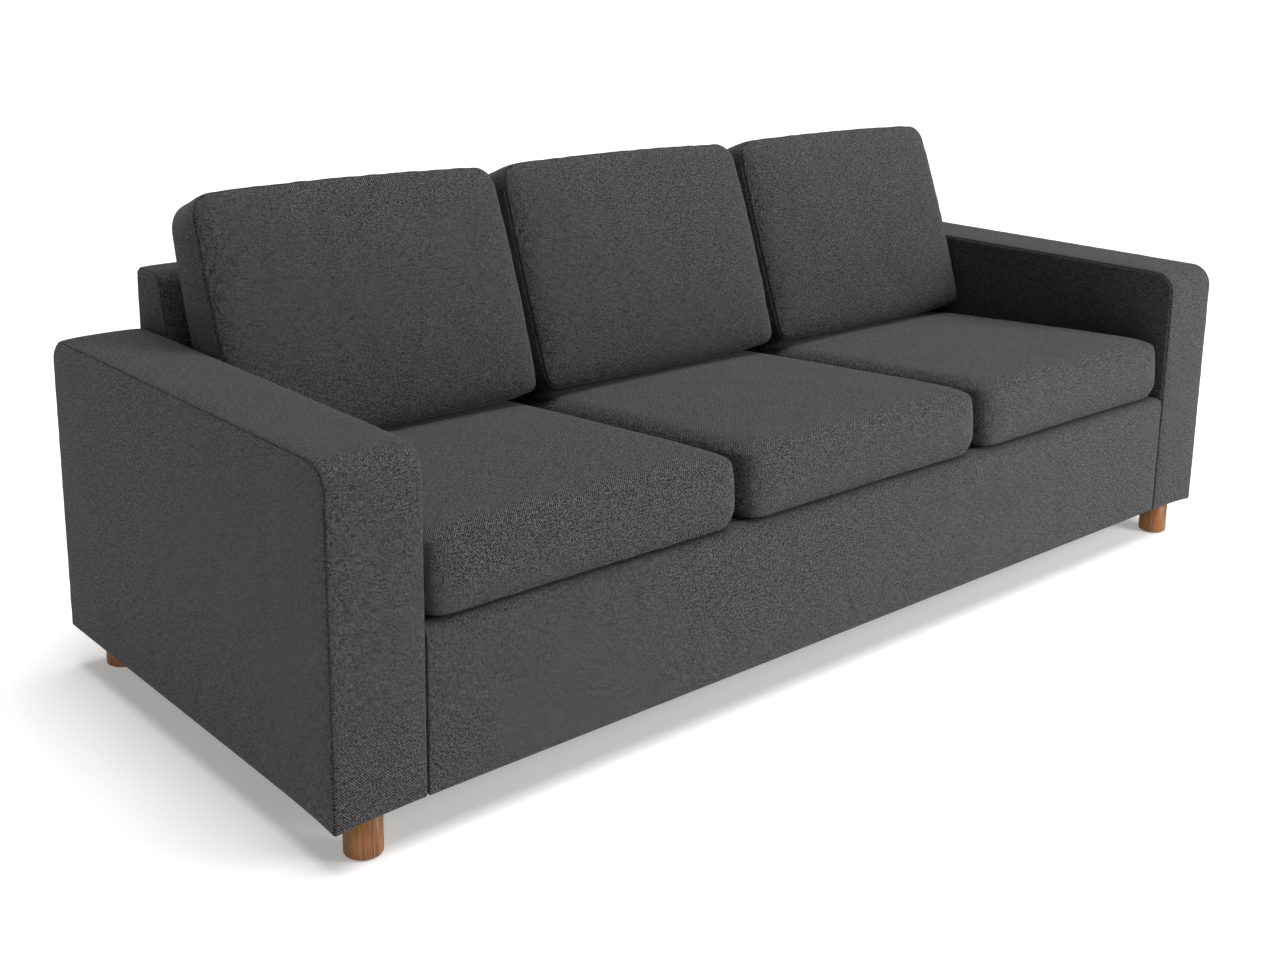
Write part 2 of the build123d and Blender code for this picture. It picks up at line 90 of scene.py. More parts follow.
class Wire:
    """A shader socket that takes part in Python arithmetic."""

    def __init__(self, sketch: "Sketch", socket: NodeSocket) -> None:
        """Keeps an output socket with the sketch that it belongs to."""
        self.sketch = sketch
        self.socket = socket

    def __add__(self, other: "Value") -> "Wire":
        """Sum of two values."""
        return self.sketch.maths("ADD", self, other)

    def __sub__(self, other: "Value") -> "Wire":
        """Difference of two values."""
        return self.sketch.maths("SUBTRACT", self, other)

    def __rsub__(self, other: "Value") -> "Wire":
        """Difference of two values, reflected."""
        return self.sketch.maths("SUBTRACT", other, self)

    def __mul__(self, other: "Value") -> "Wire":
        """Product of two values."""
        return self.sketch.maths("MULTIPLY", self, other)

    __radd__ = __add__
    __rmul__ = __mul__

    def sine(self) -> "Wire":
        """Sine of a value in radians."""
        return self.sketch.maths("SINE", self)

    def smooth(self, low: float, high: float) -> "Wire":
        """Smooth step from 0 at low to 1 at high."""
        inputs = {"Value": self, "From Min": low, "From Max": high}
        return self.sketch.node("ShaderNodeMapRange", {"interpolation_type": "SMOOTHSTEP"}, inputs)


Value = Union[float, Wire]
Colour = tuple[float, float, float]
Waves = tuple[float, float, float]
Grain = tuple[Waves, float]


class Sketch:
    """One material's node tree, drawn with Python expressions."""

    def __init__(self, name: str) -> None:
        """Starts an empty material.

        Args:
            name: The material's name.
        """
        self.material = bpy.data.materials.new(name)
        self.material.use_nodes = True
        self.tree = self.material.node_tree
        self.tree.nodes.clear()

    def feed(self, socket: NodeSocket, value: Any) -> None:
        """Links a wire to an input, or sets a plain value on it.

        Args:
            socket: The input socket.
            value: A wire, a number, or a tuple of numbers.
        """
        if isinstance(value, Wire):
            self.tree.links.new(value.socket, socket)
        elif isinstance(value, tuple) and len(value) == 3 and socket.type == "RGBA":
            socket.default_value = (*value, 1.0)
        else:
            socket.default_value = value

    def node(
        self,
        kind: str,
        settings: Optional[dict] = None,
        inputs: Optional[dict] = None,
        output: int = 0,
    ) -> Optional[Wire]:
        """Adds any node.

        Args:
            kind: Blender's node type.
            settings: The node's own properties, set first. "stops" gives a ramp's places and colours.
            inputs: Socket names or numbers, with what feeds them.
            output: Number of the output that is wanted.

        Returns:
            The chosen output, if the node has any.
        """
        made = self.tree.nodes.new(kind)
        for name, value in (settings or {}).items():
            if name == "stops":
                self.set_stops(made.color_ramp, value)
            else:
                setattr(made, name, value)
        for key, value in (inputs or {}).items():
            self.feed(made.inputs[key], value)
        return Wire(self, made.outputs[output]) if made.outputs else None

    def set_stops(self, ramp: ColorRamp, stops: Sequence[tuple[float, Colour]]) -> None:
        """Gives a ramp its stops.

        Args:
            ramp: The ramp to set.
            stops: Place and colour of each stop, in order.
        """
        while len(ramp.elements) < len(stops):
            ramp.elements.new(0.5)
        for element, (place, colour) in zip(ramp.elements, stops):
            element.position = place
            element.color = (*colour, 1.0)

    def maths(self, operation: str, first: Value, second: Value = 0.0) -> Wire:
        """Result of one of Blender's Math operations."""
        return self.node("ShaderNodeMath", {"operation": operation}, {0: first, 1: second})

    def mix(self, factor: Value, first: Any, second: Any) -> Wire:
        """Two colours mixed, with the factor as the second one's share."""
        return self.node("ShaderNodeMix", {"data_type": "RGBA"}, {0: factor, 6: first, 7: second}, output=2)

    def ramp(self, factor: Wire, places: Sequence[float], colours: Sequence[Colour]) -> Wire:
        """Colour of a value from 0 to 1, where the given colours stand at the given places."""
        return self.node("ShaderNodeValToRGB", {"stops": list(zip(places, colours))}, {"Fac": factor})

    def noise(self, places: Wire, waves: Waves, detail: float = 2.0) -> Wire:
        """Noise of about 0.5 on average, with its own number of waves to the metre along each axis."""
        scaled = self.node("ShaderNodeVectorMath", {"operation": "MULTIPLY"}, {0: places, 1: waves})
        return self.node("ShaderNodeTexNoise", None, {"Vector": scaled, "Scale": 1.0, "Detail": detail})

    def object_places(self) -> Wire:
        """The piece's own coordinates, in metres."""
        return self.node("ShaderNodeTexCoord", output=3)

    def cut_places(self) -> Wire:
        """The places on the flat cut cloth, in metres."""
        return self.node("ShaderNodeUVMap", {"uv_map": WEAVE_MAP})

    def axis(self, places: Wire, number: int) -> Wire:
        """One coordinate of a vector: 0 for x, 1 for y, 2 for z."""
        return self.node("ShaderNodeSeparateXYZ", None, {0: places}, output=number)

    def bump(self, height: Wire, distance: float, strength: float) -> Wire:
        """Normal of fine relief from 0 to 1, with its depth in metres and the share of it that shows."""
        inputs = {"Height": height, "Distance": distance, "Strength": strength}
        return self.node("ShaderNodeBump", None, inputs)

    def surface(self, **sockets: Any) -> Material:
        """Ends the sketch with a Principled surface.

        Args:
            **sockets: Socket names, with _ for a space, and what feeds them.

        Returns:
            The finished material.
        """
        named = {name.replace("_", " "): value for name, value in sockets.items()}
        shader = self.node("ShaderNodeBsdfPrincipled", None, named)
        self.node("ShaderNodeOutputMaterial", None, {"Surface": shader})
        return self.material


class Sky(Sketch):
    """The world's light, drawn with Python expressions."""

    def __init__(self, name: str) -> None:
        """Starts an empty world.

        Args:
            name: The world's name.
        """
        world = bpy.data.worlds.new(name)
        world.use_nodes = True
        bpy.context.scene.world = world
        self.tree = world.node_tree
        self.tree.nodes.clear()

    def shine(self, strength: Wire) -> None:
        """Ends the sketch with a white light, of the given strength in each direction."""
        light = self.node("ShaderNodeBackground", None, {"Color": WHITE, "Strength": strength})
        self.node("ShaderNodeOutputWorld", None, {"Surface": light})


@dataclass(frozen=True)
class MelangeCloth:
    """Charcoal upholstery cloth, woven of dark and pale threads that are flecked along their length."""

    name: str = "charcoal_melange"
    thread: float = 2.1 * MM
    crossing: float = 0.4
    fleck: float = 2.6 * MM
    tuft: float = 4.5 * MM
    slub: tuple[float, float] = (2.2 * MM, 14 * MM)
    cloud: tuple[float, float] = (38 * MM, 90 * MM)
    cloud_detail: float = 1.0
    waver: float = 18 * MM
    waver_detail: float = 2.0
    waver_turn: float = 1.6
    weave_share: float = 0.55
    fleck_share: float = 1.10
    tuft_share: float = 0.42
    slub_share: float = 0.38
    cloud_share: float = 0.10
    stops: tuple[float, float, float] = (0.10, 0.50, 0.90)
    shade: Colour = (0.0014, 0.0014, 0.0015)
    middle: Colour = (0.0200, 0.0197, 0.0214)
    pale: Colour = (0.118, 0.1157, 0.126)
    # Share of painted shade that darkens the cloth along its seams.
    seam_dark: float = 0.75
    relief: float = 0.6 * MM
    relief_strength: float = 0.7
    relief_of_weave: float = 0.6
    relief_of_flecks: float = 0.4

    def flecks(self, sketch: Sketch, cut: Wire, across: float, along: float, detail: float = 0.0) -> Wire:
        """Uneven tone of about 0.5 on average, in spots of a given size across and along the cut cloth."""
        return sketch.noise(cut, (1 / across, 1 / along, 1.0), detail)

    def material(self) -> Material:
        """Draws the cloth.

        Returns:
            The material.
        """
        sketch = Sketch(self.name)
        cut = sketch.cut_places()
        waver = self.flecks(sketch, cut, self.waver, self.waver, self.waver_detail) * self.waver_turn
        turn = math.pi / self.thread
        warp = (sketch.axis(cut, 0) * turn + waver).sine()
        weft = (sketch.axis(cut, 1) * turn + waver).sine()
        over = (warp * weft).smooth(-self.crossing, self.crossing)
        fleck = self.flecks(sketch, cut, self.fleck, self.fleck)
        tuft = self.flecks(sketch, cut, self.tuft, self.tuft)
        narrow, long = self.slub
        slubs = self.flecks(sketch, cut, narrow, long) + self.flecks(sketch, cut, long, narrow)
        cloud = self.flecks(sketch, cut, *self.cloud, self.cloud_detail)
        shares = [self.weave_share, self.fleck_share, self.tuft_share, 2 * self.slub_share, self.cloud_share]
        level = (sum(shares) - 1) / 2
        tone = over * self.weave_share + fleck * self.fleck_share + slubs * self.slub_share
        tone = tone + tuft * self.tuft_share + cloud * self.cloud_share - level
        colour = sketch.ramp(tone, self.stops, (self.shade, self.middle, self.pale))
        # Painted shade: along the seams the colour is mixed towards the darkest thread, as if the seam groove
        # were in shadow.
        seam = sketch.node("ShaderNodeAttribute", {"attribute_name": SEAM_SHADE}, output=2)
        relief = over * self.relief_of_weave + fleck * self.relief_of_flecks
        return sketch.surface(
            Base_Color=sketch.mix(seam * self.seam_dark, colour, self.shade),
            Roughness=0.93,
            Specular_IOR_Level=0.2,
            Sheen_Weight=0.08,
            Sheen_Roughness=0.5,
            Normal=sketch.bump(relief, self.relief, self.relief_strength),
        )


@dataclass(frozen=True)
class OiledOak:
    """Turned oak, oiled to a warm medium brown, with the grain upright."""

    name: str = "oiled_oak"
    deep: Colour = (0.072, 0.022, 0.004)
    body: Colour = (0.252, 0.086, 0.012)
    bright: Colour = (0.405, 0.170, 0.034)
    stops: tuple[float, float, float] = (0.24, 0.50, 0.78)
    figure: Grain = ((48.0, 48.0, 3.0), 4.0)
    streak: Grain = ((330.0, 330.0, 9.0), 3.0)
    fleck: Grain = ((700.0, 700.0, 60.0), 2.0)
    pore: Grain = ((1300.0, 1300.0, 45.0), 1.0)
    pore_edge: tuple[float, float] = (0.58, 0.68)
    figure_share: float = 0.75
    streak_share: float = 0.75
    fleck_share: float = 0.3
    level: float = 0.40
    pore_dark: float = 0.6
    pore_depth: float = 0.25 * MM
    pore_strength: float = 0.5
    roughness: float = 0.42
    fleck_roughness: float = 0.2

    def material(self) -> Material:
        """Draws the wood.

        Returns:
            The material.
        """
        sketch = Sketch(self.name)
        places = sketch.object_places()
        figure = sketch.noise(places, *self.figure)
        streaks = sketch.noise(places, *self.streak)
        flecks = sketch.noise(places, *self.fleck)
        pores = sketch.noise(places, *self.pore).smooth(*self.pore_edge)
        tone = figure * self.figure_share + streaks * self.streak_share
        tone = tone + flecks * self.fleck_share - self.level
        colour = sketch.ramp(tone, self.stops, (self.deep, self.body, self.bright))
        return sketch.surface(
            Base_Color=sketch.mix(pores * self.pore_dark, colour, self.deep),
            Roughness=self.roughness + flecks * self.fleck_roughness,
            Coat_Weight=0.10,
            Coat_Roughness=0.4,
            Normal=sketch.bump(1.0 - pores, self.pore_depth, self.pore_strength),
        )


def every_way(waves: float) -> Waves:
    """The same number of waves to the metre along each axis."""
    return (waves, waves, waves)


@dataclass(frozen=True)
class PlainStock:
    """Frame and filling stock: a grain or speckle of two tones, with its own gloss."""

    name: str
    low: Colour
    high: Colour
    grain: Waves
    roughness: float = 0.75
    metallic: float = 0.0
    grain_detail: float = 4.0
    grain_mean: float = 0.5
    grain_share: float = 0.7
    grain_roughness: float = 0.15
    spot: Waves = every_way(40.0)
    spot_share: float = 0.3
    tone_edge: tuple[float, float] = (0.30, 0.70)
    relief: float = 0.3 * MM
    relief_strength: float = 0.5

    def material(self) -> Material:
        """Draws the stock.

        Returns:
            The material.
        """
        sketch = Sketch(self.name)
        places = sketch.object_places()
        grain = sketch.noise(places, self.grain, self.grain_detail)
        spot = sketch.noise(places, self.spot)
        tone = (grain * self.grain_share + spot * self.spot_share).smooth(*self.tone_edge)
        return sketch.surface(
            Base_Color=sketch.mix(tone, self.low, self.high),
            Roughness=self.roughness + (grain - self.grain_mean) * self.grain_roughness,
            Metallic=self.metallic,
            Normal=sketch.bump(grain, self.relief, self.relief_strength),
        )


@dataclass(frozen=True)
class PlainCloth:
    """Lining cloth with a fine even weave."""

    name: str
    low: Colour
    high: Colour
    thread: float = 1.2 * MM
    weave_share: float = 0.25
    speck: Waves = (240.0, 240.0, 1.0)
    tone_edge: tuple[float, float] = (0.25, 0.75)
    relief: float = 0.25 * MM
    relief_strength: float = 0.5

    def material(self) -> Material:
        """Draws the cloth.

        Returns:
            The material.
        """
        sketch = Sketch(self.name)
        cut = sketch.cut_places()
        turn = math.pi / self.thread
        weave = (sketch.axis(cut, 0) * turn).sine() * (sketch.axis(cut, 1) * turn).sine()
        tone = (weave * self.weave_share + sketch.noise(cut, self.speck)).smooth(*self.tone_edge)
        return sketch.surface(
            Base_Color=sketch.mix(tone, self.low, self.high),
            Roughness=0.95,
            Specular_IOR_Level=0.2,
            Normal=sketch.bump(tone, self.relief, self.relief_strength),
        )


FINISHES = {
    "upholstery": MelangeCloth(),
    "oak": OiledOak(),
    "deck_cloth": PlainCloth("black_deck_cloth", (0.012, 0.012, 0.013), (0.035, 0.035, 0.037)),
    "dust_cloth": PlainCloth("black_dust_cloth", (0.010, 0.010, 0.010), (0.028, 0.028, 0.028), 0.9 * MM),
    "pine": PlainStock("sawn_pine", (0.42, 0.27, 0.13), (0.66, 0.48, 0.27), (30.0, 90.0, 90.0)),
    "plywood": PlainStock("birch_plywood", (0.46, 0.32, 0.18), (0.68, 0.53, 0.34), (60.0, 60.0, 640.0)),
    "hardboard": PlainStock("hardboard", (0.12, 0.065, 0.032), (0.22, 0.13, 0.07), every_way(300.0)),
    "foam": PlainStock("upholstery_foam", (0.62, 0.58, 0.46), (0.80, 0.77, 0.66), every_way(420.0), 0.95),
    "felt": PlainStock("grey_felt", (0.16, 0.155, 0.15), (0.34, 0.33, 0.32), every_way(380.0), 0.97),
    "webbing": PlainStock("elastic_webbing", (0.03, 0.03, 0.032), (0.30, 0.27, 0.22), every_way(240.0), 0.85),
    "tack_strip": PlainStock("tack_strip", (0.36, 0.31, 0.24), (0.50, 0.44, 0.35), every_way(260.0), 0.9),
    "steel": PlainStock("zinc_steel", (0.42, 0.43, 0.44), (0.62, 0.63, 0.64), every_way(180.0), 0.36, 1.0),
}


class Ripple:
    """Smooth, seeded unevenness, as hand-stuffed work has."""

    WAVES = 14

    def __init__(self, seed: int, wavelength: float) -> None:
        """Draws the waves.

        Args:
            seed: Seed of the draw.
            wavelength: Middle wavelength, in metres.
        """
        draw = np.random.default_rng(seed)
        way = draw.normal(size=(self.WAVES, 3))
        way /= np.linalg.norm(way, axis=1, keepdims=True)
        self.turns = way * (2 * math.pi / wavelength) * draw.uniform(0.6, 1.5, (self.WAVES, 1))
        self.phase = draw.uniform(0.0, 2 * math.pi, self.WAVES)

    def at(self, places: np.ndarray) -> np.ndarray:
        """Heights of the waves at some points, mostly from -1 to 1."""
        return np.sin(places @ self.turns.T + self.phase).sum(axis=1) / math.sqrt(2 * self.WAVES)


def ruling(low: float, high: float, pitch: float, steps: Sequence[float]) -> np.ndarray:
    """Lines across a panel, close together beside its edges.

    Args:
        low: First line.
        high: Last line.
        pitch: Distance between lines away from the edges.
        steps: Distances of the close lines from each edge, without 0.

    Returns:
        The lines' places in order.
    """
    near = np.array([0.0, *steps])
    count = max(1, round((high - low - 2 * near[-1]) / pitch))
    middle = np.linspace(low + near[-1], high - near[-1], count + 1)
    return np.concatenate([low + near[:-1], middle, (high - near[:-1])[::-1]])


@dataclass
class Ruled:
    """The faces of a box, ruled with lines along each axis."""

    points: np.ndarray
    faces: np.ndarray
    axes: np.ndarray

    @classmethod
    def box(cls, lines: Sequence[np.ndarray]) -> "Ruled":
        """Rules a box.

        Args:
            lines: Places of the lines along x, y and z.

        Returns:
            The ruled box.
        """
        counts = tuple(len(places) for places in lines)
        skin = np.ones(counts, dtype=bool)
        skin[1:-1, 1:-1, 1:-1] = False
        number = np.full(counts, -1)
        number[skin] = np.arange(skin.sum())
        points = np.stack([places[at] for places, at in zip(lines, np.nonzero(skin))], axis=1)
        quads = []
        axes = []
        for axis in range(3):
            for end in (0, -1):
                panel = np.take(number, end, axis=axis)
                corners = [panel[:-1, :-1], panel[1:, :-1], panel[1:, 1:], panel[:-1, 1:]]
                found = np.stack(corners, axis=-1).reshape(-1, 4)
                if (end == 0) != (axis == 1):
                    found = found[:, ::-1]
                quads.append(found)
                axes.append(np.full(len(found), axis))
        return cls(points, np.concatenate(quads), np.concatenate(axes))


def add_object(name: str, data: ID) -> Object:
    """Puts a new object into the scene.

    Args:
        name: The object's name.
        data: Its mesh, light or camera.

    Returns:
        The object.
    """
    made = bpy.data.objects.new(name, data)
    bpy.context.scene.collection.objects.link(made)
    return made


CUT_AXES = np.array([(1, 2), (0, 2), (0, 1)])


def new_piece(name: str, points: np.ndarray, ruled: Ruled) -> Object:
    """Makes a mesh piece with the flat cut's places as its map.

    Args:
        name: The piece's name.
        points: The shaped points, in the ruled box's order.
        ruled: The ruled box, whose own points are the flat cut.

    Returns:
        The piece, in the scene.
    """
    mesh = bpy.data.meshes.new(name)
    mesh.from_pydata(points.tolist(), [], ruled.faces.tolist())
    pairs = CUT_AXES[ruled.axes][:, None, :].repeat(4, axis=1)
    cut = np.take_along_axis(ruled.points[ruled.faces], pairs, axis=2).reshape(-1, 2)
    layer = mesh.uv_layers.new(name=WEAVE_MAP)
    layer.uv.foreach_set("vector", cut.astype(np.float32).ravel())
    mesh.shade_smooth()
    mesh.update()
    return add_object(name, mesh)


def mark_points(mesh: Mesh, name: str, values: np.ndarray) -> None:
    """Keeps one named number with each of the mesh's points, in their order."""
    mark = mesh.attributes.new(name, "FLOAT", "POINT")
    mark.data.foreach_set("value", values.astype(np.float32))


def points_of(mesh: Mesh) -> np.ndarray:
    """The mesh's points, one to a row."""
    found = np.empty(len(mesh.vertices) * 3, dtype=np.float32)
    mesh.vertices.foreach_get("co", found)
    return found.reshape(-1, 3).astype(float)


def set_points(mesh: Mesh, points: np.ndarray) -> None:
    """Moves the mesh's points."""
    mesh.vertices.foreach_set("co", points.astype(np.float32).ravel())
    mesh.update()


def bend_corners(reach: np.ndarray) -> np.ndarray:
    """Bends square corners round, with each square ring turned into a circle.

    Args:
        reach: Distances past the corner's centre along two axes, one pair to a row.

    Returns:
        The bent distances.
    """
    size = np.abs(reach)
    far = size.max(axis=1)
    near = size.min(axis=1)
    swing = near / np.maximum(far, TINY) * math.pi / 4
    longer = far * np.cos(swing)
    shorter = far * np.sin(swing)
    first_leads = size[:, 0] >= size[:, 1]
    bent = np.stack([np.where(first_leads, longer, shorter), np.where(first_leads, shorter, longer)], axis=1)
    return bent * np.sign(reach)


@dataclass
class PaddedSlab:
    """A padded block: a strip runs up its front, over its top and down its rear, between two end panels."""

    low: np.ndarray
    high: np.ndarray
    corner: float
    edge: float = 6 * MM
    hem: float = 4 * MM
    lap: float = 0.8 * MM
    lap_height: float = 20 * MM
    strip_crown: float = 3.5 * MM
    strip_spread: float = 16 * MM
    panel_crown: float = 3 * MM
    panel_spread: float = 34 * MM
    inner_crown: Optional[float] = None
    foot_height: float = 22 * MM
    seam_depth: float = 1.6 * MM
    seam_width: float = 1.5 * MM
    shade_width: float = 0.9 * MM
    droop: float = 0.0
    droop_side: int = 1
    droop_reach: tuple[float, float, float] = (55 * MM, 60 * MM, 70 * MM)
    pucker: float = 0.35 * MM
    pucker_reach: float = 13 * MM
    pucker_wave: float = 30 * MM
    unevenness: float = 0.7 * MM
    uneven_wave: float = 260 * MM
    uneven_seed: int = 50
    pitch: float = 9 * MM
    seed: int = 1
    shade: Optional[np.ndarray] = None
    near_seam: tuple[float, ...] = (0.8 * MM, 1.7 * MM, 3 * MM, 5 * MM, 8 * MM, 13 * MM)

    def lines(self) -> list[np.ndarray]:
        """Lines along x, y and z."""
        return [ruling(low, high, self.pitch, self.near_seam) for low, high in zip(self.low, self.high)]

    def shaped(self, ruled: Ruled) -> np.ndarray:
        """Rounds, crowns and seams the block.

        Args:
            ruled: The ruled box.

        Returns:
            The shaped points.
        """
        flat = ruled.points
        middle = (self.low[0] + self.high[0]) / 2
        half = (self.high[0] - self.low[0]) / 2
        across = flat[:, 0] - middle
        outline = flat[:, 1:]
        from_edge = half - np.abs(across)
        from_front = outline[:, 0] - self.low[1]
        depth = np.minimum.reduce([from_front, self.high[1] - outline[:, 0], self.high[2] - outline[:, 1]])
        inward = np.clip((self.edge - np.stack([from_edge, depth], axis=1)) / self.edge, 0.0, 1.0)
        normal = bend_corners(inward)
        on_strip = depth <= from_edge
        from_seam = np.where(on_strip, from_edge, depth)
        # Painted shade: 1 at each seam, fading within a millimetre or two; the cloth darkens there as if the
        # groove were in shadow.
        self.shade = np.exp(-((from_seam / self.shade_width) ** 2)) * (self.seam_depth > 0)
        height = outline[:, 1] - self.low[2]
        push = self.relief(flat, on_strip, from_seam, height)
        rise = np.clip(self.hem - height, 0.0, self.hem)
        push -= self.hem - np.sqrt(self.hem**2 - rise**2)
        new_edge = np.maximum(from_edge, self.edge) - (self.edge + push) * normal[:, 0]
        new_depth = np.maximum(depth, self.edge) - (self.edge + push) * normal[:, 1]
        core_low = np.array([self.low[1] + self.corner, self.low[2]])
        core_high = self.high[1:] - self.corner
        core = np.clip(outline, core_low, core_high)
        left = np.maximum(self.corner - depth, TINY)
        scale = np.where(depth < self.corner, (self.corner - new_depth) / left, 1.0)
        bent = core + bend_corners((outline - core) * scale[:, None])
        from_outside = half - across * self.droop_side
        front_reach, outside_reach, rise_reach = self.droop_reach
        hang = np.exp(-from_front / front_reach - from_outside / outside_reach - height / rise_reach)
        bent[:, 1] -= self.droop * hang + self.lap * np.exp(-height / self.lap_height)
        return np.column_stack([middle + np.sign(across) * (half - new_edge), bent])

    def relief(
        self, flat: np.ndarray, on_strip: np.ndarray, from_seam: np.ndarray, height: np.ndarray
    ) -> np.ndarray:
        """How far the stuffed cover stands off the block.

        Args:
            flat: Points of the flat cut.
            on_strip: Whether each point is on the strip.
            from_seam: Distance from the nearest seam.
            height: Height above the bottom edge.

        Returns:
            The stand-off of each point.
        """
        spread = np.where(on_strip, self.strip_spread, self.panel_spread)
        inner_crown = self.panel_crown if self.inner_crown is None else self.inner_crown
        on_inner = (flat[:, 0] - (self.low[0] + self.high[0]) / 2) * self.droop_side < 0
        panel = np.where(on_inner, inner_crown, self.panel_crown)
        crown = np.where(on_strip, self.strip_crown, panel)
        fade = 1 - np.exp(-from_seam / spread)
        foot = 1 - np.exp(-height / self.foot_height)
        puckers = Ripple(self.seed, self.pucker_wave).at(flat)
        waves = Ripple(self.seed + self.uneven_seed, self.uneven_wave).at(flat)
        push = crown * fade * foot
        push -= self.seam_depth * np.exp(-((from_seam / self.seam_width) ** 2))
        push += self.pucker * np.exp(-from_seam / self.pucker_reach) * puckers
        push += self.unevenness * fade * foot * waves
        return push

    def build(self, name: str) -> Object:
        """Makes the block.

        Args:
            name: The piece's name.

        Returns:
            The piece.
        """
        ruled = Ruled.box(self.lines())
        piece = new_piece(name, self.shaped(ruled), ruled)
        mark_points(piece.data, SEAM_SHADE, self.shade)
        return piece


def cad_box(nodes: Sequence[str]) -> tuple[np.ndarray, np.ndarray]:
    """The box round several nodes at rest.

    Args:
        nodes: The nodes' names.

    Returns:
        The lowest and highest corner.
    """
    boxes = [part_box(node) for node in nodes]
    low = np.min([list(box[0]) for box in boxes], axis=0)
    high = np.max([list(box[1]) for box in boxes], axis=0)
    return low, high


@cache
def finish(slot: str) -> Material:
    """The finish of a slot of the record, drawn when first asked for."""
    return FINISHES[slot].material()


def dress_frame() -> None:
    """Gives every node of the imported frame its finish."""
    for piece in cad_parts.values():
        for slot in piece.material_slots:
            slot.material = finish(slot.material.name)
    log.info("frame: %d nodes dressed", len(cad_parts))


def hand_over(piece: Object, body: str, slot: str, nodes: Sequence[str]) -> None:
    """Finishes a piece and puts it on its body.

    Args:
        piece: The piece.
        body: The body that it moves with.
        slot: The record's material slot.
        nodes: The nodes that it stands for.
    """
    piece.data.materials.clear()
    piece.data.materials.append(finish(slot))
    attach(piece, body)
    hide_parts(*nodes)
    log.info("%s: %d faces on %s", piece.name, len(piece.data.polygons), body)


def upholster(piece: Object, nodes: Sequence[str], body: str = SOFA_BODY) -> None:
    """Covers a piece with the upholstery cloth and puts it on its body."""
    hand_over(piece, body, "upholstery", nodes)


@dataclass
class Arm:
    """One boxy arm, with its three covers sewn together over the padding."""

    side: Side

    def build(self) -> None:
        """Makes the arm's upholstery."""
        word = self.side.word
        covers = [f"arm_{part}_cover_{word}" for part in ("outer", "inner", "strip")]
        slab = PaddedSlab(
            *cad_box(covers),
            corner=42 * MM,
            inner_crown=-0.3 * MM,
            droop=8 * MM,
            droop_side=self.side.value,
            seed=11 + self.side.value,
        )
        piece = slab.build(f"arm_{word}_upholstery")
        upholster(piece, nodes=[*covers, f"arm_padding_{word}"])


@dataclass
class FrontRail:
    """The upholstered rail under the seat cushions."""

    spread: float = 5.5 * MM
    pressed: float = 3 * MM

    def build(self) -> None:
        """Makes the rail's upholstery."""
        low, high = cad_box(["front_rail_cover"])
        room = np.array([self.spread, 0.0, 0.0])
        high[2] -= self.pressed
        slab = PaddedSlab(
            low - room,
            high + room,
            corner=14 * MM,
            edge=1.5 * MM,
            strip_crown=2.5 * MM,
            panel_crown=0.0,
            seam_depth=0.6 * MM,
            unevenness=0.8 * MM,
            seed=21,
        )
        piece = slab.build("front_rail_upholstery")
        upholster(piece, nodes=["front_rail_cover", "front_rail_padding"])


@dataclass
class BackFrame:
    """The low leaning back between the arms."""

    ledge_height: float = 0.232
    ledge_front: float = 0.225
    ledge_step: float = 0.5 * MM
    top_front: float = 0.359
    panel_front: float = 0.4375
    rear_share: float = 0.9
    rear_seam: float = 0.691
    groove: float = 1.3 * MM
    groove_width: float = 2 * MM
    groove_shade: float = 1.1 * MM
    groove_lines: tuple[float, ...] = (-4 * MM, -2 * MM, -1 * MM, 0.0, 1 * MM, 2 * MM, 4 * MM)

    def build(self) -> None:
        """Makes the back's upholstery."""
        covers = ["back_front_cover", "back_rear_cover"]
        low, high = cad_box(covers)
        rear = high[1]
        low[1] = self.top_front
        slab = PaddedSlab(
            low,
            high,
            corner=17 * MM,
            strip_crown=1.5 * MM,
            panel_crown=0.5 * MM,
            unevenness=0.5 * MM,
            seed=31,
        )
        lines = slab.lines()
        seam_lines = self.rear_seam + np.array(self.groove_lines)
        ledge_lines = self.ledge_height - np.array([self.ledge_step, 0.0])
        lines[2] = np.unique(np.concatenate([lines[2], seam_lines, ledge_lines]))
        ruled = Ruled.box(lines)
        points = slab.shaped(ruled)
        height = points[:, 2]
        towards_rear = (points[:, 1] - self.top_front) / (rear - self.top_front)
        on_rear = towards_rear > self.rear_share
        groove = self.groove * np.exp(-((height - self.rear_seam) / self.groove_width) ** 2)
        lean = (self.top_front - self.ledge_front) / (high[2] - self.ledge_height)
        leaning = self.ledge_front + (height - self.ledge_height) * lean
        front = np.where(height < self.ledge_height, self.panel_front, leaning)
        points[:, 1] = rear - (1 - towards_rear) * (rear - front) - groove * on_rear
        piece = new_piece("back_upholstery", points, ruled)
        # Painted shade along the rear seam's groove, joined with the painted shade of the other seams.
        rear_seam_painted_shade = np.exp(-((ruled.points[:, 2] - self.rear_seam) / self.groove_shade) ** 2) * on_rear
        mark_points(piece.data, SEAM_SHADE, np.maximum(slab.shade, rear_seam_painted_shade))
        upholster(piece, nodes=[*covers, "back_padding"])


COVER_CLOTH = {
    "quality": 6,
    "mass": 0.3,
    "tension_stiffness": 15.0,
    "compression_stiffness": 15.0,
    "shear_stiffness": 5.0,
    "bending_stiffness": 2.0,
    "air_damping": 4.0,
    "use_pressure": True,
    "uniform_pressure_force": 4.0,
}


